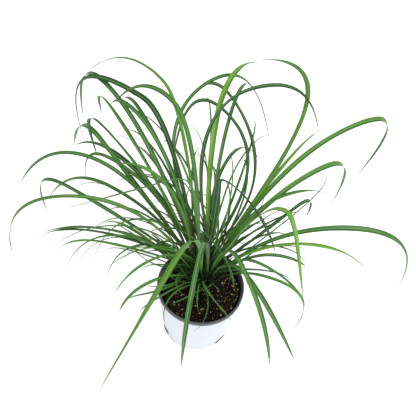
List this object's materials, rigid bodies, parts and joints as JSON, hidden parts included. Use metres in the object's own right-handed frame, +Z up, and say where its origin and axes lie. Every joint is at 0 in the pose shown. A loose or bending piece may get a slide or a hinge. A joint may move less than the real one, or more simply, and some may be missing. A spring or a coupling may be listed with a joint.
{
  "type": "potted ornamental grass clump",
  "caption": "Clump of arching ornamental grass growing from one crown in a thin round nursery pot filled with soil.",
  "frame": {"origin": "centre of the pot's flat base, on the surface it stands on", "axes": "+Z up along the pot's axis, -Y towards the front, +X to the right seen from the front"},
  "size_m": [0.6082, 0.6448, 0.4008],
  "materials": {
    "pot_plastic": "thin moulded plastic, white outside and grey-taupe inside",
    "potting_soil": "moist dark peat with pale grains",
    "crown_sheath": "dull pale green and brown leaf sheaths",
    "leaf_mid": "mid green grass blade, satin",
    "leaf_dark": "dark green grass blade, satin",
    "leaf_light": "light yellow-green grass blade, satin"
  },
  "bodies": {
    "root": {"crown": "crown_sheath", "leaf_back_left_01": "leaf_mid", "leaf_back_left_02": "leaf_dark", "leaf_back_left_03": "leaf_mid", "leaf_back_left_04": "leaf_mid", "leaf_back_left_05": "leaf_dark", "leaf_back_left_06": "leaf_mid", "leaf_back_left_07": "leaf_mid", "leaf_back_left_08": "leaf_dark", "leaf_back_left_09": "leaf_mid", "leaf_back_left_10": "leaf_dark", "leaf_back_left_11": "leaf_mid", "leaf_back_left_12": "leaf_dark", "leaf_back_left_13": "leaf_mid", "leaf_back_right_01": "leaf_light", "leaf_back_right_02": "leaf_mid", "leaf_back_right_03": "leaf_mid", "leaf_back_right_04": "leaf_dark", "leaf_back_right_05": "leaf_mid", "leaf_back_right_06": "leaf_light", "leaf_back_right_07": "leaf_mid", "leaf_back_right_08": "leaf_mid", "leaf_front_01": "leaf_light", "leaf_front_02": "leaf_mid", "leaf_front_03": "leaf_mid", "leaf_front_04": "leaf_mid", "leaf_front_05": "leaf_mid", "leaf_front_06": "leaf_mid", "leaf_front_07": "leaf_mid", "leaf_front_08": "leaf_mid", "leaf_left_01": "leaf_mid", "leaf_left_02": "leaf_mid", "leaf_left_03": "leaf_mid", "leaf_left_04": "leaf_mid", "leaf_left_05": "leaf_mid", "leaf_left_06": "leaf_mid", "leaf_left_07": "leaf_mid", "leaf_left_08": "leaf_dark", "leaf_left_09": "leaf_light", "leaf_left_10": "leaf_light", "leaf_right_01": "leaf_mid", "leaf_right_02": "leaf_mid", "leaf_right_03": "leaf_dark", "leaf_right_04": "leaf_dark", "leaf_right_05": "leaf_light", "leaf_right_06": "leaf_light", "leaf_right_07": "leaf_dark", "leaf_right_08": "leaf_dark", "leaf_right_09": "leaf_mid", "leaf_right_10": "leaf_mid", "pot": "pot_plastic", "soil": "potting_soil", "tuft_1": "leaf_mid", "tuft_2": "leaf_mid", "tuft_3": "leaf_mid", "tuft_4": "leaf_mid", "tuft_5": "leaf_dark", "tuft_6": "leaf_mid", "tuft_7": "leaf_mid", "tuft_8": "leaf_mid"}
  },
  "joints": []
}
